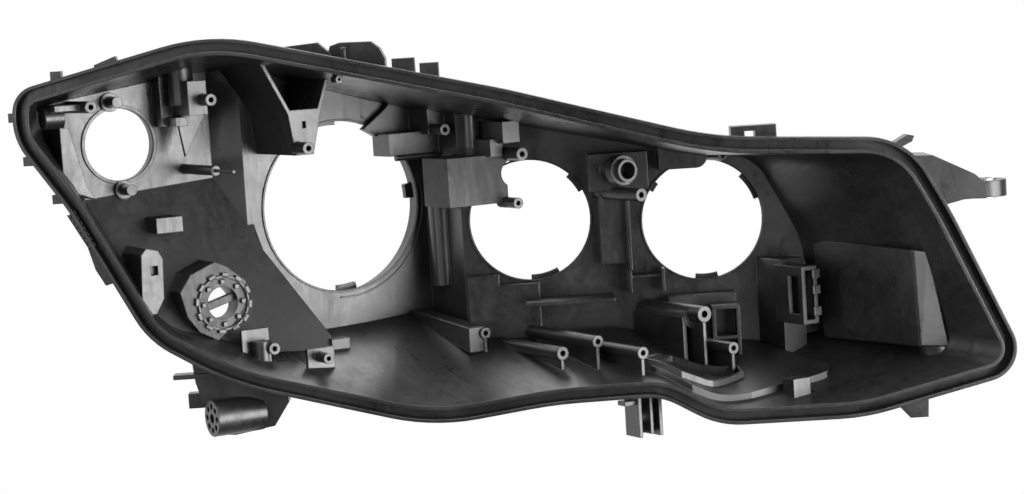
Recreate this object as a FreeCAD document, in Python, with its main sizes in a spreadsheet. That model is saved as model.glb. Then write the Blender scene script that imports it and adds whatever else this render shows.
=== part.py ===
import FreeCAD, Part
import math
import os
from FreeCAD import Placement, Rotation, Vector

# Rear housing of a car headlamp: one black glass-filled polypropylene moulding, open at the front,
# with four round service openings, and a steel sleeve pressed into its mounting eye.
# +Y is the draw direction of the mould and points to the back of the lamp, +Z is up, and +X runs
# along the lamp towards the middle of the car. The origin is the centre of the large projector
# opening, on the front face of the plate around it. Lengths are in millimetres, angles in degrees.
# The rim lies in an upright plane that is swept back. A place "across" is measured along that
# plane and a place "behind" squarely from it towards the back.

doc = FreeCAD.newDocument("HeadlampHousing")
sheet = doc.addObject("Spreadsheet::Sheet", "Sizes")
next_row = 0


def sizes(title, **entries):
    """Write a title and the named sizes below it into the sheet."""
    global next_row
    next_row += 1
    sheet.set(f"A{next_row}", title)
    for name, value in entries.items():
        next_row += 1
        sheet.set(f"A{next_row}", name.replace("_", " "))
        sheet.set(f"B{next_row}", str(value))
        sheet.setAlias(f"B{next_row}", name)
    sheet.recompute()


def mm(name):
    """The value of a named size."""
    return float(sheet.get(name))


# Driving dimensions

sizes(
    "Rim and shell",
    sweep=30,
    rim_ahead=125,
    wall=2.5,
    rim_wall=2.2,
    rim_channel=6,
    rim_depth=13,
    channel_depth=10,
    back_behind=150,
    draft_lead=12,
)

# Corners of the outside of the rim, clockwise from the outer side: across, up, rounding.
RIM = (
    (-202, 66, 42),
    (-200, 97, 18),
    (-70, 127, 130),
    (118, 79.5, 400),
    (255, 39, 250),
    (381, 31, 50),
    (408, -20, 300),
    (456, -127, 22),
    (345, -152.5, 150),
    (248, -152, 60),
    (211, -130, 40),
    (140, -131, 300),
    (60, -141, 150),
    (-72, -104, 200),
    (-124, -72, 60),
    (-170, 18, 150),
)
# The same corners of the cavity at its back, back_behind from the rim: across, up.
BACK = (
    (-178, 54),
    (-172, 80),
    (-76, 97),
    (98, 52),
    (229, 23),
    (268, 14),
    (299, -46),
    (310, -104),
    (262, -110),
    (218, -102),
    (188, -94),
    (128, -90),
    (52, -83),
    (-58, -76),
    (-134, -64),
    (-180, 14),
)
for number, (front, behind) in enumerate(zip(RIM, BACK), 1):
    sizes(
        f"Corner {number}",
        **{
            f"corner{number}_across": front[0],
            f"corner{number}_up": front[1],
            f"corner{number}_round": front[2],
            f"corner{number}_back_across": behind[0],
            f"corner{number}_back_up": behind[1],
        },
    )

sizes(
    "Back walls",
    outer_plate=15,
    outer_plate_foot=34.5,
    outer_slope=23,
    outer_fold_rise=4.3,
    plate_left=-73,
    outer_plate_right=-90,
    plate_right=68,
    knee_x=-66,
    knee_up=-24,
    foot_x=-25,
    foot_up=-98,
    inner_wall_behind=115,
)

# Round service openings: centre, bore, collar length and the narrower lip at the plate's front face.
sizes(
    "Openings",
    projector_radius=62.5,
    projector_lip=60,
    projector_collar=15,
    indicator_x=-156.5,
    indicator_up=56,
    indicator_radius=26.5,
    indicator_lip=24.5,
    indicator_collar=12,
    low_beam_across=132.5,
    low_beam_up=-17.5,
    high_beam_across=253.5,
    high_beam_up=-24.5,
    beam_radius=44,
    beam_lip=42.3,
    beam_collar=15,
    collar_wall=2.5,
    lip_depth=4,
)

# Screw bosses along the draw direction: x, up, front face, back face, radius and pilot hole.
BOSSES = {
    "outer_boss": (-191, 83.8, -31, 16, 4, 1.7),
    "bracket_boss": (-111, 83, -42, -20, 4, 1.7),
    "pocket_boss": (-60, 47, -80, -60, 4.2, 1.8),
    "lower_boss": (-86, -86, -60, -20, 4, 1.7),
    "plate_boss": (-58, -94, -84, -70, 3.6, 1.5),
    "hump_boss": (59, 50, -52, -28, 4, 1.7),
    "shelf_boss": (92, 31, -100, -62, 4.5, 1.9),
    "corner_boss": (90, -3, -94, -70, 3.8, 1.6),
    "beam_boss": (152, -1, -155, -96, 4.5, 1.9),
    "upper_boss": (218, 21, -160, -130, 4, 1.7),
    "rail_boss_a": (61, -91, -88, 2, 4, 1.7),
    "rail_boss_b": (83, -102, -153, -50, 4.5, 1.9),
    "rail_boss_c": (102, -95, -168, -64, 4.2, 1.8),
    "rail_boss_d": (118, -102, -198, -84, 4.2, 1.8),
    "rail_boss_e": (190, -107.5, -200, -120, 4.2, 1.8),
    "rail_boss_f": (178, -84, -185, -112, 5.6, 2.3),
}
for name, (x, up, front, back, radius, bore) in BOSSES.items():
    sizes(
        name.replace("_", " "),
        **{
            f"{name}_x": x,
            f"{name}_up": up,
            f"{name}_front": front,
            f"{name}_back": back,
            f"{name}_radius": radius,
            f"{name}_bore": bore,
        },
    )
sizes("All bosses", pilot_depth=16, rib=2.4)


# Outlines


def unit(start, end):
    """Direction from one corner to another."""
    run = math.hypot(end[0] - start[0], end[1] - start[1])
    return ((end[0] - start[0]) / run, (end[1] - start[1]) / run)


def grown(corners, distance):
    """A clockwise outline moved out by a distance, its roundings kept concentric."""
    moved = []
    for i, (x, up, radius) in enumerate(corners):
        came = unit(corners[i - 1], (x, up))
        goes = unit((x, up), corners[(i + 1) % len(corners)])
        out = (-came[1] - goes[1], came[0] + goes[0])
        share = distance / (1 + came[0] * goes[0] + came[1] * goes[1])
        hollow = came[0] * goes[1] - came[1] * goes[0] > 0
        rounding = radius - distance if hollow else radius + distance
        moved.append((x + share * out[0], up + share * out[1], max(rounding, mm("wall"))))
    return moved


def rounded_wire(corners, behind):
    """Closed wire of straight runs and tangent arcs, standing at a distance behind the rim."""
    longest_share = 0.45
    edges = []
    ends = []
    for i, (x, up, radius) in enumerate(corners):
        after = corners[(i + 1) % len(corners)]
        came = unit(corners[i - 1], (x, up))
        goes = unit((x, up), after)
        run_in = math.hypot(x - corners[i - 1][0], up - corners[i - 1][1])
        run_out = math.hypot(x - after[0], up - after[1])
        half_turn = math.acos(max(-1, min(1, came[0] * goes[0] + came[1] * goes[1]))) / 2
        cut = min(radius * math.tan(half_turn), longest_share * min(run_in, run_out))
        radius = cut / math.tan(half_turn)
        inward = radius / math.cos(half_turn) - radius
        size = math.hypot(goes[0] - came[0], goes[1] - came[1])
        middle = (
            x + (goes[0] - came[0]) / size * inward,
            up + (goes[1] - came[1]) / size * inward,
        )
        start = (x - came[0] * cut, up - came[1] * cut)
        end = (x + goes[0] * cut, up + goes[1] * cut)
        ends.append([Vector(p[0], behind, p[1]) for p in (start, middle, end)])
    for i, (start, middle, end) in enumerate(ends):
        edges.append(Part.LineSegment(ends[i - 1][2], start).toShape())
        edges.append(Part.Arc(start, middle, end).toShape())
    return Part.Wire(edges)


rim_corners = [
    (mm(f"corner{i}_across"), mm(f"corner{i}_up"), mm(f"corner{i}_round"))
    for i in range(1, len(RIM) + 1)
]
back_corners = [
    (mm(f"corner{i}_back_across"), mm(f"corner{i}_back_up")) for i in range(1, len(BACK) + 1)
]
band = mm("rim_wall") + mm("rim_channel") + mm("wall")
mouth_corners = grown(rim_corners, -band)


def cavity_section(behind, out):
    """Outline of the tapering cavity at a distance behind the rim, moved out by a wall."""
    share = behind / mm("back_behind")
    corners = []
    for mouth, back in zip(mouth_corners, back_corners):
        across = mouth[0] + share * (back[0] - mouth[0])
        up = mouth[1] + share * (back[1] - mouth[1])
        corners.append((across, up, mouth[2]))
    return rounded_wire(grown(corners, out) if out else corners, behind)


# Frames and simple solids

sin_sweep = math.sin(math.radians(mm("sweep")))
cos_sweep = math.cos(math.radians(mm("sweep")))
rim_frame = Placement(
    Vector(-mm("rim_ahead") * sin_sweep, -mm("rim_ahead") * cos_sweep, 0),
    Rotation(Vector(0, 0, 1), -mm("sweep")),
)


def shape_object(label, shape, placement=None):
    """A solid made with the outlines above, kept as an object of the document."""
    item = doc.addObject("Part::Feature", label)
    item.Label = label
    item.Shape = shape
    if placement:
        item.Placement = placement
    return item


def ride_rim_frame(item):
    """Set an object in the swept frame of the rim."""
    item.Placement = rim_frame
    item.setExpression(".Placement.Rotation.Angle", "-Sizes.sweep")
    item.setExpression(".Placement.Base.x", "-Sizes.rim_ahead * sin(Sizes.sweep * 1deg)")
    item.setExpression(".Placement.Base.y", "-Sizes.rim_ahead * cos(Sizes.sweep * 1deg)")
    return item


def fused(label, items):
    item = doc.addObject("Part::MultiFuse", label)
    item.Label = label
    item.Shapes = items
    return item


def shared(label, first, second):
    item = doc.addObject("Part::MultiCommon", label)
    item.Label = label
    item.Shapes = [first, second]
    return item


def less(label, base, tool):
    item = doc.addObject("Part::Cut", label)
    item.Label = label
    item.Base = base
    item.Tool = tool
    return item


def bind(item, **expressions):
    """Bind properties to the sheet; x, y and up stand for the place."""
    places = {"x": ".Placement.Base.x", "y": ".Placement.Base.y", "up": ".Placement.Base.z"}
    for name, expression in expressions.items():
        item.setExpression(places.get(name, name), expression)
    return item


def block(label, x, y, up, wide, deep, tall):
    """An upright box between expressions of the sheet's sizes."""
    item = doc.addObject("Part::Box", label)
    return bind(item, x=x, y=y, up=up, Length=wide, Width=deep, Height=tall)


def rod(label, x, y, up, radius, length):
    """A round bar that runs back from its front face."""
    item = doc.addObject("Part::Cylinder", label)
    item.Placement.Rotation = Rotation(Vector(1, 0, 0), -90)
    return bind(item, x=x, y=y, up=up, Radius=radius, Height=length)


def post(label, x, y, up, radius, height):
    """A round bar that stands upright."""
    item = doc.addObject("Part::Cylinder", label)
    return bind(item, x=x, y=y, up=up, Radius=radius, Height=height)


def side_rod(label, x, y, up, radius, length):
    """A round bar that runs along the lamp from its outer end."""
    item = doc.addObject("Part::Cylinder", label)
    item.Placement.Rotation = Rotation(Vector(0, 1, 0), 90)
    return bind(item, x=x, y=y, up=up, Radius=radius, Height=length)


def prism(points, run):
    """A solid swept from flat corner points."""
    wire = Part.makePolygon(list(points) + [points[0]])
    return Part.Face(wire).extrude(run)


# Walls of the cavity


def tapered_body(label, out, start):
    """Loft from the mouth to beyond the back, moved out by a wall."""
    end = mm("back_behind") + 4 * mm("draft_lead")
    loft = Part.makeLoft([cavity_section(start, out), cavity_section(end, out)], True, True)
    return ride_rim_frame(shape_object(label, loft))


def back_zones(label, out):
    """Space in front of the back walls, which step from the plates to the inner wall."""
    far = 600
    slope = math.radians(mm("outer_slope"))
    rise = math.tan(math.radians(mm("outer_fold_rise")))
    zones = []
    for back, right in (
        (mm("outer_plate"), mm("plate_left") + out),
        (0, mm("plate_right") + out),
    ):
        foot_up = mm("outer_plate_foot") - out * math.tan(slope / 2) - rise * far
        lowest = -far / 2
        lowest_back = mm("outer_plate") + (
            out + math.sin(slope) * (lowest - mm("outer_plate_foot"))
        ) / math.cos(slope)
        turn_up = foot_up + (back - mm("outer_plate")) / math.tan(slope)
        profile = [
            Vector(-far, -far, far),
            Vector(-far, back + out, far),
            Vector(-far, back + out, turn_up),
            Vector(-far, lowest_back, lowest - rise * far),
            Vector(-far, -far, lowest - rise * far),
        ]
        run = far + right
        zones.append(prism(profile, Vector(run, 0, rise * run)))
    bevel_start = (mm("outer_plate_right"), mm("outer_plate"))
    bevel_end = (mm("plate_left"), 0)
    bevel = unit(bevel_start, bevel_end)
    kept = [
        (bevel_start[0] - far * bevel[0], bevel_start[1] - far * bevel[1], 0),
        (bevel_end[0] + far * bevel[0], bevel_end[1] + far * bevel[1], 0),
        (bevel_end[0] - far, bevel_end[1] - 3 * far, 0),
    ]
    corners = grown(kept, out) if out else kept
    side = prism([Vector(c[0], c[1], -2 * far) for c in corners], Vector(0, 0, 4 * far))
    zones[0] = zones[0].common(side)
    foot_run = (mm("foot_x") - mm("knee_x")) / (mm("knee_up") - mm("foot_up"))
    low = -far / 3
    plate = [
        (mm("knee_x"), mm("knee_up"), 0),
        (mm("plate_left"), mm("outer_plate_foot") + rise * mm("plate_left"), 0),
        (mm("plate_left"), far / 2, 0),
        (mm("plate_right"), far / 2, 0),
        (mm("plate_right"), low, 0),
        (mm("knee_x") + foot_run * (mm("knee_up") - low), low, 0),
    ]
    corners = grown(plate, out) if out else plate
    zones.append(prism([Vector(c[0], -far, c[1]) for c in corners], Vector(0, far + out, 0)))
    inner = Part.makeBox(
        2 * far,
        far + mm("inner_wall_behind") + out,
        far,
        Vector(-far, -far, -far / 2),
    )
    inner.Placement = rim_frame.multiply(inner.Placement)
    side = Part.makeBox(far, 2 * far, far, Vector(mm("plate_right") - out, -far, -far / 2))
    zones.append(inner.common(side))
    whole = zones[0].multiFuse(zones[1:])
    return shape_object(label, whole.removeSplitter())


wall_out = mm("wall")
envelope = shared(
    "envelope",
    tapered_body("body_taper", wall_out, 0),
    back_zones("body_zones", wall_out),
)
cavity = shared(
    "cavity",
    tapered_body("cavity_taper", 0, -mm("draft_lead")),
    back_zones("cavity_zones", 0),
)


# Rim with the glue channel


def rim_prism(label, out, start, end):
    face = Part.Face(rounded_wire(grown(rim_corners, out) if out else rim_corners, start))
    return ride_rim_frame(shape_object(label, face.extrude(Vector(0, end - start, 0))))


channel = less(
    "channel",
    rim_prism("channel_space", -mm("rim_wall"), -mm("draft_lead"), mm("channel_depth")),
    envelope,
)
rim_block = rim_prism("rim_block", 0, 0, mm("rim_depth"))


# Round service openings with their collars


def opening(name, x, up, plate, radius, lip, collar):
    """Collar behind a plate, and the hole whose lip lies in front of its wider bore."""
    outer = rod(f"{name}_collar", x, plate, up, f"{radius} + Sizes.collar_wall", collar)
    through = rod(f"{name}_through", x, plate, up, lip, collar)
    bore = rod(f"{name}_bore", x, f"{plate} + Sizes.lip_depth", up, radius, collar)
    return outer, [through, bore]


projector_collar, projector_holes = opening(
    "projector",
    "0",
    "0",
    "0",
    "Sizes.projector_radius",
    "Sizes.projector_lip",
    "Sizes.projector_collar",
)
indicator_collar, indicator_holes = opening(
    "indicator",
    "Sizes.indicator_x",
    "Sizes.indicator_up",
    "Sizes.outer_plate",
    "Sizes.indicator_radius",
    "Sizes.indicator_lip",
    "Sizes.indicator_collar",
)
low_beam_collar, low_beam_holes = opening(
    "low_beam",
    "Sizes.low_beam_across",
    "Sizes.low_beam_up",
    "Sizes.inner_wall_behind",
    "Sizes.beam_radius",
    "Sizes.beam_lip",
    "Sizes.beam_collar",
)
high_beam_collar, high_beam_holes = opening(
    "high_beam",
    "Sizes.high_beam_across",
    "Sizes.high_beam_up",
    "Sizes.inner_wall_behind",
    "Sizes.beam_radius",
    "Sizes.beam_lip",
    "Sizes.beam_collar",
)
slanted_collars = ride_rim_frame(fused("slanted_collars", [low_beam_collar, high_beam_collar]))
slanted_holes = ride_rim_frame(fused("slanted_holes", low_beam_holes + high_beam_holes))


# Screw bosses and the ribs that carry the long ones

bosses = []
pilot_holes = []
for name in BOSSES:
    place = (f"Sizes.{name}_x", f"Sizes.{name}_front", f"Sizes.{name}_up")
    length = f"Sizes.{name}_back - Sizes.{name}_front"
    bosses.append(rod(name, *place, f"Sizes.{name}_radius", length))
    pilot_holes.append(rod(f"{name}_pilot", *place, f"Sizes.{name}_bore", "Sizes.pilot_depth"))

sizes("Ribs under the rails", rail_rib_set_back=1, rail_rib_drop=48)
rail_ribs = []
for name in (name for name in BOSSES if name.startswith("rail_boss")):
    rail_ribs.append(
        block(
            name.replace("boss", "rib"),
            f"Sizes.{name}_x - Sizes.rib / 2",
            f"Sizes.{name}_front + Sizes.rail_rib_set_back",
            f"Sizes.{name}_up - Sizes.rail_rib_drop",
            "Sizes.rib",
            f"Sizes.{name}_back - Sizes.{name}_front - Sizes.rail_rib_set_back",
            "Sizes.rail_rib_drop",
        )
    )


# Blocks that stand on the walls: x or across, front face, underside, width, depth and height


def blocks(title, places):
    """Write the sizes of a group of blocks and make them."""
    made = []
    words = ("x", "front", "under", "wide", "deep", "tall")
    for name, values in places.items():
        sizes(
            f"{title}: {name.replace('_', ' ')}",
            **{f"{name}_{word}": value for word, value in zip(words, values)},
        )
        made.append(block(name, *(f"Sizes.{name}_{word}" for word in words)))
    return made


square_blocks = blocks(
    "Inside, square to the draw",
    {
        "bracket_body": (-130, 1, 66, 15, 17, 60),
        "bracket_block": (-121.5, -28, 73, 13.5, 34, 23),
        "bracket_foot": (-126, -14, 66, 9, 20, 6),
        "slope_stop": (-144.5, -12, -5, 19, 30, 10.5),
        "lower_pad": (-90, -56, -130, 3, 50, 44),
        "lower_plate": (-103, -45, -130, 20, 3, 57),
        "foot_plate": (-67, -70, -130, 20, 3, 42),
        "foot_plate_rib": (-59.5, -68, -130, 2.5, 40, 34),
        "hump_block": (54.5, -35, 47, 14.5, 40, 40),
        "hump_panel": (28, -25, 33, 44, 28, 16),
        "corner_box": (44.5, -78, -3, 47, 36, 34),
        "shelf_block": (82, -92, 39, 13.5, 34, 15),
        "shelf_seat": (76, -84, 30, 10, 30, 12),
        "rail_box": (53, -82, -125, 10, 84, 37),
        "floor_lug": (-34, -40, -112, 14, 10, 24),
        "capsule_foot_a": (169, -171, -120, 3, 60, 34),
        "capsule_foot_b": (181, -171, -120, 3, 50, 34),
        "connector_block": (246, -183, -120, 19, 44, 66),
        "connector_socket": (242, -211, -97, 13, 32, 40),
        "pad_block": (203, -248, -150, 14, 12, 24),
    },
)
swept_blocks = blocks(
    "Inside, square to the rim",
    {
        "low_wall": (86, 106, -125, 22, 12, 71),
        "low_wall_end": (106, 106, -125, 30, 12, 63.5),
        "lamp_box": (175, 94, 1, 41, 23, 26),
        "lamp_column": (181, 104, -51, 20, 14, 50),
        "lamp_rib": (199.7, 98, -56, 2.4, 19, 56),
        "high_shelf": (224, 99, 13, 26, 20, 16),
        "shelf_post_a": (199, 100, -72, 2.2, 17, 16),
        "shelf_post_b": (222, 100, -72, 2.2, 17, 16),
        "shelf_bar": (199, 104, -62, 24, 13, 2),
        "beam_shelf": (126, 84, -75, 62, 33, 2.5),
        "beam_step": (226, 99, -130, 47, 18, 54),
        "frame_post_a": (254, 82, -140, 2.5, 18, 57),
        "frame_post_b": (271, 82, -140, 2.5, 18, 57),
        "frame_bar": (254, 82, -85, 19.5, 18, 2.5),
        "frame_sill": (254, 82, -106, 19.5, 18, 2.5),
    },
)
swept_inside = ride_rim_frame(fused("swept_inside", swept_blocks))


# Tapering pocket that hangs from the roof beside the projector opening

sizes(
    "Roof pocket",
    pocket_front=-64,
    pocket_floor=70,
    pocket_foot=42,
    pocket_left=-62,
    pocket_right=-49,
    pocket_top=125,
    pocket_top_left=-94,
    pocket_top_right=-22,
    pocket_floor_left=-66,
    pocket_floor_right=-42,
    pocket_back=-6,
    pocket_slot_x=-56,
    pocket_slot_up=60,
    pocket_slot_wide=2.6,
    pocket_slot_tall=4.5,
)
front = mm("pocket_front")
pocket_outline = [
    (mm("pocket_left"), mm("pocket_foot"), 0),
    (mm("pocket_floor_left"), mm("pocket_floor"), 0),
    (mm("pocket_top_left"), mm("pocket_top"), 0),
    (mm("pocket_top_right"), mm("pocket_top"), 0),
    (mm("pocket_floor_right"), mm("pocket_floor"), 0),
    (mm("pocket_right"), mm("pocket_foot"), 0),
]
pocket_block = prism(
    [Vector(x, front, up) for x, up, _ in pocket_outline],
    Vector(0, mm("outer_plate") + mm("wall") - front, 0),
)
hollow = grown(pocket_outline[1:5], -mm("wall"))
pocket_hollow = prism(
    [Vector(x, front, up) for x, up, _ in hollow],
    Vector(0, mm("pocket_back") - front, 0),
)
roof_pocket = shape_object("roof_pocket", pocket_block.cut(pocket_hollow))
pocket_slot = block(
    "pocket_slot",
    "Sizes.pocket_slot_x",
    "Sizes.pocket_front - 1",
    "Sizes.pocket_slot_up",
    "Sizes.pocket_slot_wide",
    "Sizes.wall * 2",
    "Sizes.pocket_slot_tall",
)


# Seat of the beam adjuster on the sloping wall

sizes(
    "Adjuster seat",
    adjuster_x=-110,
    adjuster_up=-54,
    adjuster_front=-34,
    adjuster_length=40,
    adjuster_bore=11,
    adjuster_bar=5,
    adjuster_bar_tilt=15,
    adjuster_studs=8,
    adjuster_stud_ring=14.4,
    adjuster_stud=3,
    adjuster_stud_proud=2.5,
)
# Outline of the seat round its centre: x and up.
ADJUSTER = (
    (-22, 21),
    (-4, 28),
    (4, 24.5),
    (18, 13),
    (18, -2),
    (5, -17),
    (-5, -25),
    (-18, -18),
    (-26, -7),
    (-30, 10),
)
adjuster = ("Sizes.adjuster_x", "Sizes.adjuster_front", "Sizes.adjuster_up")
adjuster_hub = shape_object(
    "adjuster_hub",
    prism(
        [
            Vector(mm("adjuster_x") + x, mm("adjuster_front"), mm("adjuster_up") + up)
            for x, up in ADJUSTER
        ],
        Vector(0, mm("adjuster_length"), 0),
    ),
)
adjuster_bore = rod("adjuster_bore", *adjuster, "Sizes.adjuster_bore", "Sizes.adjuster_length * 2")
adjuster_studs = []
for i in range(int(mm("adjuster_studs"))):
    turn = f"({i} * 360 / Sizes.adjuster_studs) * 1deg"
    adjuster_studs.append(
        block(
            f"adjuster_stud_{i}",
            f"Sizes.adjuster_x + Sizes.adjuster_stud_ring * cos({turn}) - Sizes.adjuster_stud / 2",
            "Sizes.adjuster_front - Sizes.adjuster_stud_proud",
            f"Sizes.adjuster_up + Sizes.adjuster_stud_ring * sin({turn}) - Sizes.adjuster_stud / 2",
            "Sizes.adjuster_stud",
            "Sizes.adjuster_stud_proud * 2",
            "Sizes.adjuster_stud",
        )
    )
bar = Part.makeBox(
    2 * mm("adjuster_bore") + mm("wall"),
    mm("wall") * 2,
    mm("adjuster_bar"),
    Vector(-mm("adjuster_bore") - mm("wall") / 2, 0, -mm("adjuster_bar") / 2),
)
adjuster_bar = shape_object(
    "adjuster_bar",
    bar,
    Placement(
        Vector(mm("adjuster_x"), mm("adjuster_front") + mm("wall") * 2, mm("adjuster_up")),
        Rotation(Vector(0, 1, 0), -mm("adjuster_bar_tilt")),
    ),
)


# Round and upright details inside

sizes(
    "Pegs and clips",
    peg_front=-2,
    peg_radius=3.8,
    peg_long=18,
    peg_pad_front=12,
    peg_pad_radius=6.5,
    peg_pad_long=4,
    upper_peg_x=-161.5,
    upper_peg_up=85,
    lower_peg_x=-156,
    lower_peg_up=25.5,
    cup_x=-216,
    cup_y=-6,
    cup_up=78,
    cup_radius=7.5,
    cup_bore=5.5,
    cup_long=13,
    guide_x=-110.5,
    guide_front=-40,
    guide_up=35.5,
    guide_radius=3.4,
    guide_long=55,
    pin_radius=1.1,
    pin_long=30,
    capsule_x=178,
    capsule_front=-172,
    capsule_up=-87,
    capsule_radius=8,
    capsule_long=62,
    shelf_rod_x=33,
    shelf_rod_y=-24,
    shelf_rod_up=31.6,
    shelf_rod_radius=2.2,
    shelf_rod_long=34,
    lamp_ring_x=150.5,
    lamp_ring_front=-142,
    lamp_ring_up=15.5,
    lamp_ring_radius=8,
    lamp_ring_bore=5.8,
    lamp_ring_long=30,
    lamp_ring_deep=14,
    lamp_clip_radius=10.5,
    lamp_clip_front=-137,
    lamp_clip_long=8,
    shelf_end_across=250,
    shelf_end_up=21,
    shelf_end_radius=8,
    step_column_x=68,
    step_column_y=-21,
    step_column_under=-62,
    step_column_radius=9,
    step_column_tall=64,
    hump_post_x=74,
    hump_post_y=-60,
    hump_post_under=26,
    hump_post_radius=5,
    hump_post_tall=50,
    hump_tip_radius=2.6,
    hump_tip_tall=8,
    bracket_column_x=-118,
    bracket_column_y=-8,
    bracket_column_under=80,
    bracket_column_radius=8.5,
    bracket_column_tall=45,
    box_notch_x=96,
    box_notch_up=17,
    box_notch_radius=9,
    lower_post_x=-91,
    lower_post_y=-50,
    lower_post_under=-125,
    lower_post_radius=6.5,
    lower_post_tall=44,
    bulge_across=406,
    bulge_behind=45,
    bulge_under=-130,
    bulge_lean=24,
    bulge_radius=12,
    bulge_tall=83,
)
rods = [
    rod(f"{name}_{part}", *place, f"Sizes.{part}_radius", length)
    for name in ("upper", "lower")
    for part, place, length in (
        ("peg", (f"Sizes.{name}_peg_x", "Sizes.peg_front", f"Sizes.{name}_peg_up"), "Sizes.peg_long"),
        (
            "peg_pad",
            (f"Sizes.{name}_peg_x", "Sizes.peg_pad_front", f"Sizes.{name}_peg_up"),
            "Sizes.peg_pad_long",
        ),
    )
]
guide = ("Sizes.guide_x", "Sizes.guide_front", "Sizes.guide_up")
guide_tip = (guide[0], "Sizes.guide_front - Sizes.pin_long", guide[2])
capsule = ("Sizes.capsule_x", "Sizes.capsule_front", "Sizes.capsule_up")
lamp_ring = ("Sizes.lamp_ring_x", "Sizes.lamp_ring_front", "Sizes.lamp_ring_up")
lamp_clip = (lamp_ring[0], "Sizes.lamp_clip_front", lamp_ring[2])
rods += [
    rod("guide", *guide, "Sizes.guide_radius", "Sizes.guide_long"),
    rod("guide_pin", *guide_tip, "Sizes.pin_radius", "Sizes.pin_long + Sizes.wall"),
    rod("capsule", *capsule, "Sizes.capsule_radius", "Sizes.capsule_long"),
    rod("lamp_ring", *lamp_ring, "Sizes.lamp_ring_radius", "Sizes.lamp_ring_long"),
    rod("lamp_clip", *lamp_clip, "Sizes.lamp_clip_radius", "Sizes.lamp_clip_long"),
]
columns = [
    post(
        name,
        f"Sizes.{name}_x",
        f"Sizes.{name}_y",
        f"Sizes.{name}_under",
        f"Sizes.{name}_radius",
        f"Sizes.{name}_tall",
    )
    for name in ("step_column", "hump_post", "bracket_column", "lower_post")
]
hump_tip = doc.addObject("Part::Cone", "hump_tip")
bind(
    hump_tip,
    x="Sizes.hump_post_x",
    y="Sizes.hump_post_y",
    up="Sizes.hump_post_under - Sizes.hump_tip_tall",
    Radius1="Sizes.hump_tip_radius",
    Radius2="Sizes.hump_post_radius",
    Height="Sizes.hump_tip_tall",
)
across_rods = [
    side_rod(
        name,
        f"Sizes.{name}_x",
        f"Sizes.{name}_y",
        f"Sizes.{name}_up",
        f"Sizes.{name}_radius",
        f"Sizes.{name}_long",
    )
    for name in ("cup", "shelf_rod")
]
cup_bore = side_rod(
    "cup_bore",
    "Sizes.cup_x + Sizes.wall",
    "Sizes.cup_y",
    "Sizes.cup_up",
    "Sizes.cup_bore",
    "Sizes.cup_long",
)
lamp_ring_bore = rod(
    "lamp_ring_bore", *lamp_ring, "Sizes.lamp_ring_bore", "Sizes.lamp_ring_deep"
)
box_notch = rod(
    "box_notch",
    "Sizes.box_notch_x",
    "Sizes.corner_box_front - Sizes.wall",
    "Sizes.box_notch_up",
    "Sizes.box_notch_radius",
    "Sizes.corner_box_deep / 2",
)
shelf_end = rod(
    "shelf_end",
    "Sizes.shelf_end_across",
    "Sizes.high_shelf_front",
    "Sizes.shelf_end_up",
    "Sizes.shelf_end_radius",
    "Sizes.high_shelf_deep",
)
bulge_foot = Vector(mm("bulge_across"), mm("bulge_behind"), mm("bulge_under"))
bulge_run = Vector(-mm("bulge_lean"), 0, mm("bulge_tall"))
bulge = shape_object(
    "bulge", Part.makeCylinder(mm("bulge_radius"), bulge_run.Length, bulge_foot, bulge_run)
)
swept_rods = ride_rim_frame(fused("swept_rods", [shelf_end, bulge]))


# Flat webs and gussets inside: front, thickness and outline in x and up

INSIDE_PLATES = {
    "bracket_gusset": (-8, 3, ((-122, 70), (-118, 74), (-103, 76), (-103, 71), (-118, 45))),
    "hump_web": (-7, 10, ((18, 53), (36, 66), (60, 90), (76, 90), (76, 47), (28, 47))),
    "outer_boss_web": (-20, 36, ((-212, 82), (-212, 86), (-191, 86), (-191, 82))),
    "cup_web": (-10, 26, ((-206, 30), (-206, 71), (-200, 71), (-190, 30), (-184, 22))),
    "side_bracket": (
        -35,
        60,
        ((-168, -56), (-166, -16), (-162, -12), (-154, -14), (-151, -20), (-152, -46), (-158, -56)),
    ),
}
inside_plates = []
for name, (front, deep, corners) in INSIDE_PLATES.items():
    sizes(name.replace("_", " "), **{f"{name}_front": front, f"{name}_deep": deep})
    corners = [Vector(x, mm(f"{name}_front"), up) for x, up in corners]
    inside_plates.append(
        shape_object(name, prism(corners, Vector(0, mm(f"{name}_deep"), 0)))
    )
side_bracket_hole = blocks("Recess", {"bracket_recess": (-160, -36, -30, 5, 6, 6)})
socket_holes = blocks(
    "Connector",
    {
        "socket_slot": (245, -212, -94, 7, 26, 34),
        "socket_side": (241, -207, -90, 6, 12, 26),
    },
)


# Raised floor with a stepped edge, and the low frame of the tray on it: outlines in plan

PAD = ((122, -184), (142, -218), (181, -231), (242, -234), (250, -226), (240, -140), (100, -90))
TRAY = ((123, -188), (141, -208), (163, -212), (192, -208), (196, -196), (156, -172))
sizes("Raised floor", pad_thick=4.5, tray_tall=4, tray_wall=2.4, floor_reach=200)
lining = less(
    "pad_lining",
    envelope,
    tapered_body("above_pad", -mm("pad_thick"), -mm("draft_lead")),
)
tray_lining = less(
    "tray_lining",
    envelope,
    tapered_body("above_tray", -mm("pad_thick") - mm("tray_tall"), -mm("draft_lead")),
)
floor_low = -mm("floor_reach")
floor_run = Vector(0, 0, mm("floor_reach") - mm("beam_radius") - mm("wall"))
tray_outside = prism([Vector(x, y, floor_low) for x, y in TRAY], floor_run)
tray_corners = grown([(x, y, 0) for x, y in reversed(TRAY)], -mm("tray_wall"))
tray_inside = prism([Vector(x, y, floor_low) for x, y, _ in tray_corners], floor_run)
pad = shared(
    "pad", lining, shape_object("pad_plan", prism([Vector(x, y, floor_low) for x, y in PAD], floor_run))
)
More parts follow.
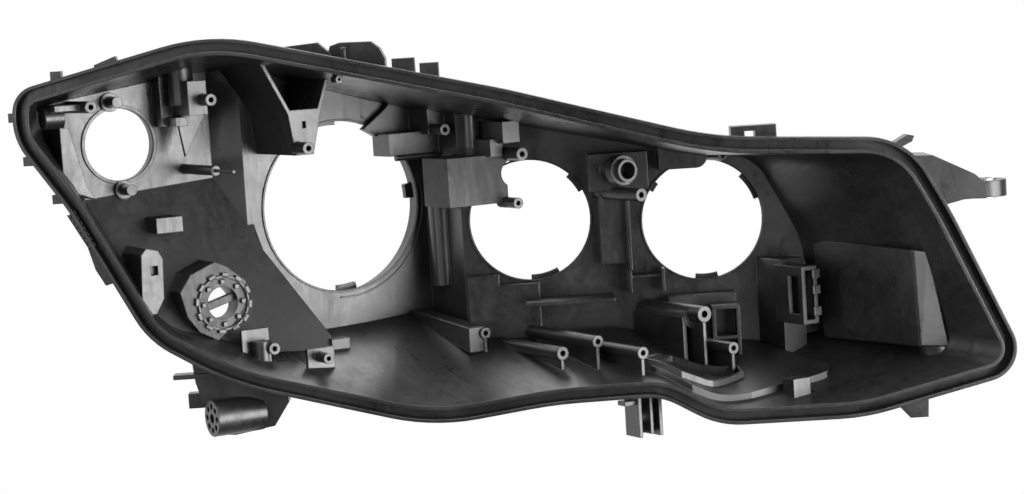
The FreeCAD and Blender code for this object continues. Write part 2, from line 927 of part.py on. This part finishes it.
tray = shared("tray", tray_lining, shape_object("tray_plan", tray_outside.cut(tray_inside)))


# The corner box is open behind and below

corner_box_space = block(
    "corner_box_space",
    "Sizes.corner_box_x + Sizes.wall",
    "Sizes.corner_box_front + Sizes.wall",
    "Sizes.corner_box_under - Sizes.wall",
    "Sizes.corner_box_wide - 2 * Sizes.wall",
    "Sizes.corner_box_deep",
    "Sizes.corner_box_tall",
)
corner_box = less("corner_box_walls", doc.getObject("corner_box"), corner_box_space)
square_blocks = [item for item in square_blocks if item.Label != "corner_box"] + [corner_box]


# Other blocks are moulded hollow from behind, with the wall of the shell all round


def core(name, reach):
    """Space behind a block, open through the back wall."""
    return block(
        f"{name}_core",
        f"Sizes.{name}_x + Sizes.wall",
        f"Sizes.{name}_front + Sizes.wall",
        f"Sizes.{name}_under + Sizes.wall",
        f"Sizes.{name}_wide - 2 * Sizes.wall",
        f"Sizes.{name}_deep + {reach}",
        f"Sizes.{name}_tall - 2 * Sizes.wall",
    )


square_cores = [core(name, 40) for name in ("hump_block", "connector_block")]
swept_cores = ride_rim_frame(
    fused("swept_cores", [core(name, 20) for name in ("low_wall", "lamp_column")])
)


# Fittings outside the shell, square to the rim

outer_blocks = blocks(
    "Outside",
    {
        "clip_upper": (-204.5, 3, 77, 6, 7, 6),
        "clip_middle": (-197, 3, 48, 7, 7, 6),
        "clip_lower": (-180, 3, 22, 8, 7, 6),
        "lug_outer": (-175, 3, 97, 7, 8, 11.5),
        "rib_post": (13, 28, 96, 3, 8, 16),
        "catch_outer": (47.5, 8, 86, 15, 12, 17),
        "catch_inner": (65.5, 8, 80, 12.5, 12, 19),
        "top_clip_post_a": (267, 11, 26, 9, 14, 18),
        "top_clip_post_b": (283, 11, 24, 14, 14, 18),
        "top_clip_bar": (267, 11, 41, 30, 14, 3.5),
        "mount_blade": (-112, 16, -101, 26, 12, 3),
        "mount_lug": (-104, 24, -122, 10, 10, 10),
    },
)
foot_blocks = blocks(
    "Clip bracket under the rim",
    {
        "foot_rib_a": (110.5, -200, -158, 2.4, 17, 34),
        "foot_rib_b": (119.4, -200, -156.5, 2.2, 17, 32),
        "foot_rib_c": (126.6, -200, -158.5, 2.4, 17, 34),
        "foot_back": (110.5, -185.4, -158, 18.5, 2.4, 34),
        "foot_tab": (102, -197, -136, 9, 9, 3),
    },
)
sizes(
    "Outer plates",
    fin_front=6,
    fin_deep=3,
    ramp_front=3,
    ramp_deep=8,
    roof_plate_front=28,
    roof_plate_deep=16,
    roof_hump_front=34,
    roof_hump_deep=24,
    arm_front=11,
    arm_deep=14,
    eye_arm_front=10,
    eye_arm_deep=36,
    mount_front=20,
    mount_deep=14,
    toe_front=8,
    toe_deep=14,
    eye_across=437,
    eye_behind=40,
    eye_under=-14,
    eye_tall=11,
    eye_radius=15.5,
    eye_bore=9,
    sleeve_bore=6.3,
    sleeve_proud=1,
    sleeve_clearance=0.05,
    lower_mount_x=-133,
    lower_mount_y=-55.5,
    lower_mount_up=-127.5,
    lower_mount_radius=12.2,
    lower_mount_bore=3.2,
    lower_mount_long=35,
    spoke_pockets=8,
    spoke_ring=8,
    spoke_radius=2,
    spoke_deep=7,
    foot_hole_x=115.6,
    foot_hole_up=-147.5,
    foot_hole_radius=2.5,
)
# Flat outlines of the plates, clockwise: across and up.
OUTER_PLATES = {
    "fin": ((-160, 14), (-142, -32), (-150, -34), (-156, -23), (-160, -8), (-172, 14)),
    "ramp": ((-146, 104), (-146, 111), (-132, 116), (-130, 110), (-130, 104)),
    "roof_plate": ((-30, 106), (-24.5, 115), (-2, 116.5), (6, 109), (8, 104), (-10, 98)),
    "roof_hump": ((1, 98), (6, 113.5), (12.5, 115.5), (33, 115), (38.5, 110.5), (42, 103), (42, 90)),
    "arm": ((366, 18), (373, 26.5), (383, 32), (387.5, 31), (386, 27.5), (378.5, 24), (374, 15)),
    "eye_arm": (
        (372, 16),
        (388, 18),
        (399, 17.5),
        (426, 3.5),
        (434, -4),
        (434, -12.5),
        (418, -13),
        (400, -17),
        (375, -30),
    ),
    "mount": (
        (-100, -84),
        (-38, -100),
        (-36.5, -121),
        (-47, -136.5),
        (-73.5, -141),
        (-85.5, -140),
        (-93.5, -120),
        (-98, -104),
    ),
    "toe": ((362, -140), (389, -135), (388, -156), (376, -156)),
}
outer_plates = []
for name, corners in OUTER_PLATES.items():
    front = mm(f"{name}_front")
    corners = [Vector(across, front, up) for across, up in corners]
    outer_plates.append(
        shape_object(name, prism(corners, Vector(0, mm(f"{name}_deep"), 0)))
    )


eye = ("Sizes.eye_across", "Sizes.eye_behind", "Sizes.eye_under")
eye_ring = post("eye_ring", *eye, "Sizes.eye_radius", "Sizes.eye_tall")
eye_hole = post("eye_hole", *eye, "Sizes.eye_bore", "Sizes.eye_tall + 20")
eye_hole.setExpression(".Placement.Base.z", "Sizes.eye_under - 10")
mount_slots = blocks(
    "Angled slot in the lower plate",
    {
        "mount_slot_upright": (-65.6, 19, -132.5, 2.2, 5, 12.5),
        "mount_slot_foot": (-71, 19, -132.5, 7.6, 5, 2.2),
    },
)
fittings = ride_rim_frame(fused("fittings", outer_blocks + outer_plates + [eye_ring]))
fitting_holes = ride_rim_frame(fused("fitting_holes", [eye_hole] + mount_slots))
foot_hole = rod(
    "foot_hole",
    "Sizes.foot_hole_x",
    "Sizes.foot_rib_a_front",
    "Sizes.foot_hole_up",
    "Sizes.foot_hole_radius",
    "Sizes.foot_rib_a_deep + Sizes.wall",
)


# Lower mount: a round lug with a hub hole and a ring of pockets in its end

lower_mount = ("Sizes.lower_mount_x", "Sizes.lower_mount_y", "Sizes.lower_mount_up")
lower_mount_rod = side_rod(
    "lower_mount", *lower_mount, "Sizes.lower_mount_radius", "Sizes.lower_mount_long"
)
lower_mount_holes = [
    side_rod(
        "lower_mount_hole", *lower_mount, "Sizes.lower_mount_bore", "Sizes.lower_mount_long"
    )
]
for i in range(int(mm("spoke_pockets"))):
    turn = f"({i} * 360 / Sizes.spoke_pockets) * 1deg"
    lower_mount_holes.append(
        side_rod(
            f"spoke_pocket_{i}",
            lower_mount[0],
            f"{lower_mount[1]} + Sizes.spoke_ring * cos({turn})",
            f"{lower_mount[2]} + Sizes.spoke_ring * sin({turn})",
            "Sizes.spoke_radius",
            "Sizes.spoke_deep",
        )
    )


# Moulding put together

inside = shared(
    "inside",
    fused(
        "inside_blocks",
        bosses + rail_ribs + square_blocks + rods + columns + across_rods + inside_plates
        + [swept_inside, swept_rods, hump_tip, roof_pocket, adjuster_hub] + adjuster_studs,
    ),
    envelope,
)
walls = fused("walls", [envelope, rim_block, fittings, lower_mount_rod] + foot_blocks)
shell = less("shell", less("channelled", walls, channel), cavity)
solid = fused(
    "solid_parts",
    [shell, inside, pad, tray, projector_collar, indicator_collar, slanted_collars],
)
holes = fused(
    "holes",
    pilot_holes + projector_holes + indicator_holes + square_cores + side_bracket_hole
    + socket_holes + lower_mount_holes
    + [slanted_holes, swept_cores, pocket_slot, adjuster_bore, fitting_holes, foot_hole]
    + [cup_bore, lamp_ring_bore, box_notch],
)
drilled = less("drilled", solid, holes)
housing = fused("headlamp_housing", [drilled, adjuster_bar])


# Steel sleeve pressed into the mounting eye

sleeve_place = (*eye[:2], "Sizes.eye_under - Sizes.sleeve_proud")
sleeve_tall = "Sizes.eye_tall + 2 * Sizes.sleeve_proud"
sleeve_outside = post(
    "sleeve_outside", *sleeve_place, "Sizes.eye_bore - Sizes.sleeve_clearance", sleeve_tall
)
sleeve_inside = post("sleeve_inside", *sleeve_place, "Sizes.sleeve_bore", sleeve_tall)
sleeve = ride_rim_frame(less("mount_eye_sleeve", sleeve_outside, sleeve_inside))


# Check and write

doc.recompute()
pieces = (housing, sleeve)
for item in doc.Objects:
    if "Invalid" in item.State or "Error" in item.State:
        raise SystemExit(f"{item.Label} failed: {item.State}")
os.makedirs("parts", exist_ok=True)
for piece in pieces:
    if piece.Shape.isNull() or not piece.Shape.isValid():
        raise SystemExit(f"{piece.Label} has no valid shape")
    piece.Shape.exportStep(f"parts/{piece.Label}.step")
    print(piece.Label, len(piece.Shape.Solids), "solid", round(piece.Shape.Volume / 1000), "cm3")
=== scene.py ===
import math
import bmesh
import bpy
from mathutils import Matrix, Vector


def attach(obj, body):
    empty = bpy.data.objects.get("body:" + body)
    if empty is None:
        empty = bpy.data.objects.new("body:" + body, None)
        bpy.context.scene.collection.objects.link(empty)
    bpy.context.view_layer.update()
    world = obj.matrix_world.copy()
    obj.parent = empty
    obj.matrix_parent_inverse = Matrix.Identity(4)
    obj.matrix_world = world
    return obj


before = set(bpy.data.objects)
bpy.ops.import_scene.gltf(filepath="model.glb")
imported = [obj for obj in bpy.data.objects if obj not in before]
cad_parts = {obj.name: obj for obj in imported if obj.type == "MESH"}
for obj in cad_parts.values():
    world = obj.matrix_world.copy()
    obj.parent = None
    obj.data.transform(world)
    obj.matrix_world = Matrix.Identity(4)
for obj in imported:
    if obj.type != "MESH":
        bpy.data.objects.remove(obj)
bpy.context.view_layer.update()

scene = bpy.context.scene


# Camera: in front of the outer end, a little above the part, turned slightly clockwise

SENSOR_WIDTH = 36.0
FOCAL_LENGTH = 82.97
CAMERA_PLACE = (-0.7302, -1.5019, 0.1237)

camera_data = bpy.data.cameras.new("Camera")
camera_data.sensor_width = SENSOR_WIDTH
camera_data.lens = FOCAL_LENGTH
camera_data.clip_start = 0.05
camera_data.clip_end = 20.0
camera = bpy.data.objects.new("Camera", camera_data)
scene.collection.objects.link(camera)
azimuth = math.radians(-30.0)
elevation = math.radians(5.5)
roll = math.radians(3.6)
back = Vector(
    (
        math.sin(azimuth) * math.cos(elevation),
        -math.cos(azimuth) * math.cos(elevation),
        math.sin(elevation),
    )
)
level = Vector((math.cos(azimuth), math.sin(azimuth), 0.0))
upright = back.cross(level)
right = math.cos(roll) * level - math.sin(roll) * upright
up = math.sin(roll) * level + math.cos(roll) * upright
camera.matrix_world = Matrix.Translation(CAMERA_PLACE) @ Matrix(
    (right, up, back)
).transposed().to_4x4()
scene.camera = camera


# Node helpers


def new_material(name):
    material = bpy.data.materials.new(name)
    material.use_nodes = True
    nodes = material.node_tree.nodes
    nodes.clear()
    output = nodes.new("ShaderNodeOutputMaterial")
    shader = nodes.new("ShaderNodeBsdfPrincipled")
    material.node_tree.links.new(shader.outputs["BSDF"], output.inputs["Surface"])
    return material, shader


def add(material, kind, **values):
    node = material.node_tree.nodes.new(kind)
    for key, value in values.items():
        key = key.replace("_", " ")
        if key in node.inputs:
            node.inputs[key].default_value = value
        else:
            setattr(node, key.replace(" ", "_"), value)
    return node


def link(material, start, end):
    material.node_tree.links.new(start, end)


def noise(material, place, scale, detail=4.0, roughness=0.55, distortion=0.0):
    node = add(
        material,
        "ShaderNodeTexNoise",
        Scale=scale,
        Detail=detail,
        Roughness=roughness,
        Distortion=distortion,
    )
    link(material, place, node.inputs["Vector"])
    return node.outputs["Fac"]


def spread(material, value, low, high, to_low, to_high):
    node = add(material, "ShaderNodeMapRange")
    for key, number in (
        ("From Min", low),
        ("From Max", high),
        ("To Min", to_low),
        ("To Max", to_high),
    ):
        node.inputs[key].default_value = number
    link(material, value, node.inputs["Value"])
    return node.outputs["Result"]


def maths(material, operation, first, second):
    node = material.node_tree.nodes.new("ShaderNodeMath")
    node.operation = operation
    for socket, value in zip(node.inputs, (first, second)):
        if isinstance(value, (int, float)):
            socket.default_value = value
        else:
            link(material, value, socket)
    return node.outputs["Value"]


def ramp(material, value, stops):
    node = material.node_tree.nodes.new("ShaderNodeValToRGB")
    elements = node.color_ramp.elements
    while len(elements) < len(stops):
        elements.new(0.5)
    for element, (place, colour) in zip(elements, stops):
        element.position = place
        element.color = (*colour, 1.0)
    link(material, value, node.inputs["Fac"])
    return node.outputs["Color"]


def bumps(material, shader, layers, edge=0.0):
    """Heights added one after another; edge rounds sharp corners for the light."""
    normal = None
    if edge:
        bevel = add(material, "ShaderNodeBevel", Radius=edge)
        bevel.samples = 4
        normal = bevel.outputs["Normal"]
    for height, strength, distance in layers:
        node = add(material, "ShaderNodeBump", Strength=strength, Distance=distance)
        link(material, height, node.inputs["Height"])
        if normal:
            link(material, normal, node.inputs["Normal"])
        normal = node.outputs["Normal"]
    link(material, normal, shader.inputs["Normal"])


def zone(material, place, low, high, fade=0.0015):
    """One inside a box given in metres, falling to nothing just outside it."""
    parts = add(material, "ShaderNodeSeparateXYZ")
    link(material, place, parts.inputs["Vector"])
    inside = None
    for axis, start, end in zip("XYZ", low, high):
        offset = maths(material, "SUBTRACT", parts.outputs[axis], (start + end) / 2)
        away = maths(material, "ABSOLUTE", offset, 0.0)
        half = (end - start) / 2
        within = spread(material, away, half, half + fade, 1.0, 0.0)
        inside = within if inside is None else maths(material, "MULTIPLY", inside, within)
    return inside


# Moulded polypropylene: near black, finely eroded surface with mottle and flow marks

# Blocks whose mould faces are eroded more coarsely: corner box, adjuster's seat, bracket.
# Low corner, high corner and the roughness that is added.
COARSE = (
    ((0.040, -0.082, -0.006), (0.096, -0.030, 0.036), 0.27),
    ((-0.146, -0.0345, -0.088), (-0.086, -0.0200, -0.022), 0.16),
    ((-0.105, -0.060, 0.050), (-0.078, -0.010, 0.110), 0.10),
)


def moulded_plastic():
    material, shader = new_material("MouldedPlastic")
    place = add(material, "ShaderNodeTexCoord").outputs["Object"]
    grain = noise(material, place, 900.0, 3.0, 0.7)
    mottle = noise(material, place, 210.0, 5.0, 0.65)
    cloud = noise(material, place, 17.0, 5.0, 0.6, 0.5)
    stretched = add(material, "ShaderNodeMapping")
    stretched.inputs["Rotation"].default_value = (0.0, 0.5, 0.0)
    stretched.inputs["Scale"].default_value = (1.0, 0.12, 0.22)
    link(material, place, stretched.inputs["Vector"])
    flow = noise(material, stretched.outputs["Vector"], 120.0, 6.0, 0.7, 1.4)
    fine = maths(
        material,
        "ADD",
        maths(material, "MULTIPLY", mottle, 0.3),
        maths(material, "MULTIPLY", grain, 0.25),
    )
    tone = maths(material, "ADD", maths(material, "MULTIPLY", cloud, 0.45), fine)
    colour = ramp(
        material,
        tone,
        (
            (0.36, (0.008, 0.0082, 0.0087)),
            (0.5, (0.012, 0.0122, 0.0128)),
            (0.62, (0.021, 0.021, 0.0215)),
        ),
    )
    link(material, colour, shader.inputs["Base Color"])
    rough = maths(
        material,
        "ADD",
        spread(material, cloud, 0.35, 0.65, 0.28, 0.40),
        maths(
            material,
            "ADD",
            spread(material, flow, 0.35, 0.65, -0.05, 0.06),
            spread(material, mottle, 0.35, 0.65, -0.03, 0.03),
        ),
    )
    for low, high, added in COARSE:
        coarser = maths(material, "MULTIPLY", zone(material, place, low, high), added)
        rough = maths(material, "ADD", rough, coarser)
    link(material, rough, shader.inputs["Roughness"])
    shader.inputs["Specular IOR Level"].default_value = 0.8
    bumps(
        material,
        shader,
        (
            (grain, 0.22, 0.0001),
            (mottle, 0.16, 0.0003),
            (flow, 0.07, 0.0005),
        ),
        edge=0.0009,
    )
    return material


# Zinc plated steel: satin, with turning marks


def plated_steel():
    material, shader = new_material("PlatedSteel")
    place = add(material, "ShaderNodeTexCoord").outputs["Object"]
    stretched = add(material, "ShaderNodeMapping")
    stretched.inputs["Scale"].default_value = (1.0, 1.0, 30.0)
    link(material, place, stretched.inputs["Vector"])
    lines = noise(material, stretched.outputs["Vector"], 90.0, 4.0, 0.6)
    cloud = noise(material, place, 120.0, 3.0, 0.5)
    tones = ((0.3, (0.42, 0.42, 0.43)), (0.7, (0.62, 0.62, 0.60)))
    colour = ramp(material, cloud, tones)
    link(material, colour, shader.inputs["Base Color"])
    shader.inputs["Metallic"].default_value = 1.0
    link(material, spread(material, lines, 0.3, 0.7, 0.26, 0.42), shader.inputs["Roughness"])
    bumps(material, shader, ((lines, 0.25, 0.0002),), edge=0.0004)
    return material


materials = {"headlamp_housing": moulded_plastic(), "mount_eye_sleeve": plated_steel()}
for name, material in materials.items():
    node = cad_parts[name]
    for slot in node.material_slots:
        slot.material = material


# Small moulded forms that the shell carries: tabs for the caps and raised lips round the openings

# Directions across, up and towards the back: along the swept rim, and square to the draw
UPWARD = Vector((0.0, 0.0, 1.0))
SWEPT = (Vector((0.866025, -0.5, 0.0)), UPWARD, Vector((0.5, 0.866025, 0.0)))
SQUARE = (Vector((1.0, 0.0, 0.0)), UPWARD, Vector((0.0, 1.0, 0.0)))
RIM_MIDDLE = Vector((-0.0625, -0.108253, 0.0))
INNER_WALL_BEHIND = 0.115
PROJECTOR_MIDDLE = Vector((0.0, 0.0, 0.0))
INDICATOR_MIDDLE = Vector((-0.1565, 0.015, 0.056))
MILLIMETRE = 0.001
SHARP_ANGLE = 0.6
FLAT_ANGLE = 0.02
DEGREES_A_STEP = 4.0


def finished_piece(name, mesh, edge):
    """Round the edges of a closed mesh and hang it on the part in the housing's plastic."""
    sharp = [line for line in mesh.edges if line.calc_face_angle(0.0) > SHARP_ANGLE]
    bmesh.ops.bevel(
        mesh, geom=sharp, offset=edge, segments=2, profile=0.5, affect="EDGES", clamp_overlap=True
    )
    bmesh.ops.recalc_face_normals(mesh, faces=mesh.faces)
    data = bpy.data.meshes.new(name)
    mesh.to_mesh(data)
    mesh.free()
    piece = bpy.data.objects.new(name, data)
    scene.collection.objects.link(piece)
    data.materials.append(materials["headlamp_housing"])
    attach(piece, "root")


def arc_bars(name, centre, axes, bars, edge=0.0003):
    """Bars bent round a centre: inner and outer radius, first and last angle, front and rear."""
    mesh = bmesh.new()
    across, up, behind_it = axes
    for inner, outer, first, last, front, rear in bars:
        steps = max(3, int(abs(last - first) / DEGREES_A_STEP))
        closed = abs(last - first) >= 360.0
        rows = []
        for step in range(steps if closed else steps + 1):
            angle = math.radians(first + (last - first) * step / steps)
            spoke = across * math.cos(angle) + up * math.sin(angle)
            section = ((inner, front), (outer, front), (outer, rear), (inner, rear))
            rows.append(
                [
                    mesh.verts.new(centre + spoke * radius + behind_it * depth)
                    for radius, depth in section
                ]
            )
        pairs = list(zip(rows, rows[1:] + rows[:1] if closed else rows[1:]))
        for one, two in pairs:
            for corner in range(4):
                after = (corner + 1) % 4
                mesh.faces.new((one[corner], one[after], two[after], two[corner]))
        if not closed:
            mesh.faces.new(rows[0])
            mesh.faces.new(reversed(rows[-1]))
    finished_piece(name, mesh, edge)


arc_bars(
    "projector_cap_tabs",
    PROJECTOR_MIDDLE,
    SQUARE,
    [
        (0.0572, 0.0632, angle - half, angle + half, 0.0105, 0.0150)
        for angle, half in ((93.0, 7.0), (5.0, 5.0), (-85.0, 7.0), (-173.0, 5.0))
    ],
)
arc_bars(
    "projector_lips",
    PROJECTOR_MIDDLE,
    SQUARE,
    [
        (0.0602, 0.0615, 0.0, 360.0, -0.0012, 0.0003),
        (0.0642, 0.0654, -95.0, 72.0, -0.0008, 0.0003),
    ],
)
arc_bars(
    "indicator_lip",
    INDICATOR_MIDDLE,
    SQUARE,
    [(0.0247, 0.0268, 0.0, 360.0, -0.0014, 0.0003)],
)
# Beam openings: place across and up, then the middle angle and half width of each tab
BEAMS = (
    ("low_beam", 0.1325, -0.0175, ((-78.0, 14.0), (36.0, 10.0), (150.0, 6.0))),
    ("high_beam", 0.2535, -0.0245, ((-88.0, 11.0), (31.0, 14.0), (143.0, 5.0))),
)
for name, sideways, height, places in BEAMS:
    centre = RIM_MIDDLE + SWEPT[0] * sideways + SWEPT[1] * height + SWEPT[2] * INNER_WALL_BEHIND
    arc_bars(
        f"{name}_cap_tabs",
        centre,
        SWEPT,
        [
            (0.0393, 0.0446, angle - half, angle + half, 0.0048, 0.0085)
            for angle, half in places
        ],
    )
    arc_bars(f"{name}_lip", centre, SWEPT, [(0.0425, 0.0437, 0.0, 360.0, -0.0009, 0.0003)])


def faceted_blocks(name, blocks, edge=0.0005):
    """Closed blocks, each spanned by its corners in millimetres."""
    mesh = bmesh.new()
    for corners in blocks:
        points = [mesh.verts.new(Vector(corner) * MILLIMETRE) for corner in corners]
        bmesh.ops.convex_hull(mesh, input=points)
    bmesh.ops.dissolve_limit(mesh, angle_limit=FLAT_ANGLE, verts=mesh.verts, edges=mesh.edges)
    finished_piece(name, mesh, edge)


def from_rim(across, behind_rim, height):
    """A place in the rim's swept frame, in millimetres."""
    return RIM_MIDDLE * 1000.0 + SWEPT[0] * across + SWEPT[2] * behind_rim + SWEPT[1] * height


# Toothed ring of the adjuster's seat, round the studs
ADJUSTER = Vector((-0.1100, -0.034, -0.0540))
arc_bars(
    "adjuster_ring",
    ADJUSTER,
    SQUARE,
    [(0.0172, 0.0186, 0.0, 360.0, -0.0022, 0.0003)]
    + [(0.0180, 0.0205, turn, turn + 15.0, -0.0026, 0.0003) for turn in range(-75, 285, 30)],
)

# Box that stiffens the rail beside the projector, from the plate to the boss
faceted_blocks(
    "rail_box",
    [
        [
            (48.5, -86.0, -86.0),
            (61.0, -86.0, -86.0),
            (48.5, -86.0, -104.0),
            (61.0, -86.0, -104.0),
            (48.5, 0.3, -79.5),
            (61.0, 0.3, -79.5),
            (48.5, 0.3, -88.0),
            (61.0, 0.3, -88.0),
        ]
    ],
    0.0009,
)

# Wedge of the inner side wall that grows towards the rim and ends at the leaning post
faceted_blocks(
    "side_wedge",
    [
        [
            (275.0, -180.0, -42.0),
            (281.0, -180.0, -43.0),
            (273.0, -192.0, -111.0),
            (292.0, -192.0, -112.0),
            (279.5, -284.0, -45.0),
            (290.0, -288.0, -47.0),
            (288.0, -277.0, -112.0),
            (308.0, -284.0, -114.0),
        ]
    ],
    0.0012,
)

# Saw teeth on the outside of the rim at the outer end
faceted_blocks(
    "rim_teeth",
    [
        [
            from_rim(
                -170.0 + 0.455 * along + 0.89 * inward,
                depth,
                18.0 - 0.89 * along + 0.455 * inward,
            )
            for depth in (3.0, 9.0)
            for along, inward in (
                (start, 3.0),
                (start + 3.2, 3.0),
                (start + 3.2, -2.6),
                (start, -0.2),
            )
        ]
        for start in (2.0, 6.0, 10.0, 14.0, 18.0, 22.0, 26.0)
    ],
    0.0002,
)

# Latches at the side of the plug socket
faceted_blocks(
    "socket_latches",
    [
        [
            (x, y, z)
            for x in (251.0, 257.5)
            for y in (-211.5, -207.5)
            for z in (low_edge, low_edge + 6.5)
        ]
        for low_edge in (-92.0, -77.0, -66.0)
    ],
    0.0004,
)

# Short stud under the top of the rim
arc_bars(
    "ceiling_stud",
    Vector((-0.0474, -0.1073, 0.0917)),
    SQUARE,
    [(0.0009, 0.0026, 0.0, 360.0, 0.0, 0.008)],
)


# White surround: the camera sees plain white, gloss sees it behind the part and a dim room in front


world = bpy.data.worlds.new("White")
world.use_nodes = True
scene.world = world
tree = world.node_tree
tree.nodes.clear()


def surround(strength):
    node = tree.nodes.new("ShaderNodeBackground")
    node.inputs["Color"].default_value = (1.0, 1.0, 1.0, 1.0)
    node.inputs["Strength"].default_value = strength
    return node


def mixed(factor, first, second):
    node = tree.nodes.new("ShaderNodeMixShader")
    tree.links.new(factor, node.inputs["Fac"])
    tree.links.new(first, node.inputs[1])
    tree.links.new(second, node.inputs[2])
    return node.outputs["Shader"]


seen = surround(1.0)
lit = surround(0.5)
mirrored = surround(1.0)
direction = tree.nodes.new("ShaderNodeTexCoord")
parts = tree.nodes.new("ShaderNodeSeparateXYZ")
tree.links.new(direction.outputs["Generated"], parts.inputs["Vector"])
behind = tree.nodes.new("ShaderNodeMapRange")
for key, number in (("From Min", -0.1), ("From Max", 0.6), ("To Min", 0.07), ("To Max", 1.0)):
    behind.inputs[key].default_value = number
tree.links.new(parts.outputs["Y"], behind.inputs["Value"])
tree.links.new(behind.outputs["Result"], mirrored.inputs["Strength"])
path = tree.nodes.new("ShaderNodeLightPath")
glossy = tree.nodes.new("ShaderNodeMath")
glossy.operation = "MAXIMUM"
tree.links.new(path.outputs["Is Glossy Ray"], glossy.inputs[0])
tree.links.new(path.outputs["Is Transmission Ray"], glossy.inputs[1])
room = mixed(
    glossy.outputs["Value"], lit.outputs["Background"], mirrored.outputs["Background"]
)
surrounding = mixed(path.outputs["Is Camera Ray"], room, seen.outputs["Background"])
output = tree.nodes.new("ShaderNodeOutputWorld")
tree.links.new(surrounding, output.inputs["Surface"])


# Studio lights


def area_light(name, place, target, size, power):
    data = bpy.data.lights.new(name, "AREA")
    data.shape = "RECTANGLE"
    data.size, data.size_y = size
    data.energy = power
    light = bpy.data.objects.new(name, data)
    scene.collection.objects.link(light)
    light.location = place
    light.rotation_mode = "QUATERNION"
    light.rotation_quaternion = (Vector(target) - Vector(place)).to_track_quat("-Z", "Y")
    light.visible_camera = False


MIDDLE = (-0.05, -0.05, 0.0)
area_light("Key", (1.05, -1.95, -0.2), MIDDLE, (1.5, 1.5), 58.0)
area_light("Front", (0.3, -2.2, -0.1), MIDDLE, (0.9, 1.2), 14.0)
area_light("High", (1.0, -1.7, 0.95), MIDDLE, (1.2, 0.8), 4.0)
area_light("Top", (0.1, -0.3, 1.8), (0.05, -0.1, 0.0), (1.6, 0.9), 50.0)
area_light("Back", (0.3, 0.9, 1.5), (0.05, -0.15, 0.0), (2.8, 1.6), 34.0)
area_light("Left", (-2.0, -0.3, 0.3), (0.0, -0.1, 0.0), (0.8, 1.4), 11.0)
area_light("LeftFront", (-1.8, -1.5, 0.3), (0.0, -0.1, 0.0), (0.7, 1.2), 6.0)

scene.view_settings.view_transform = "Standard"
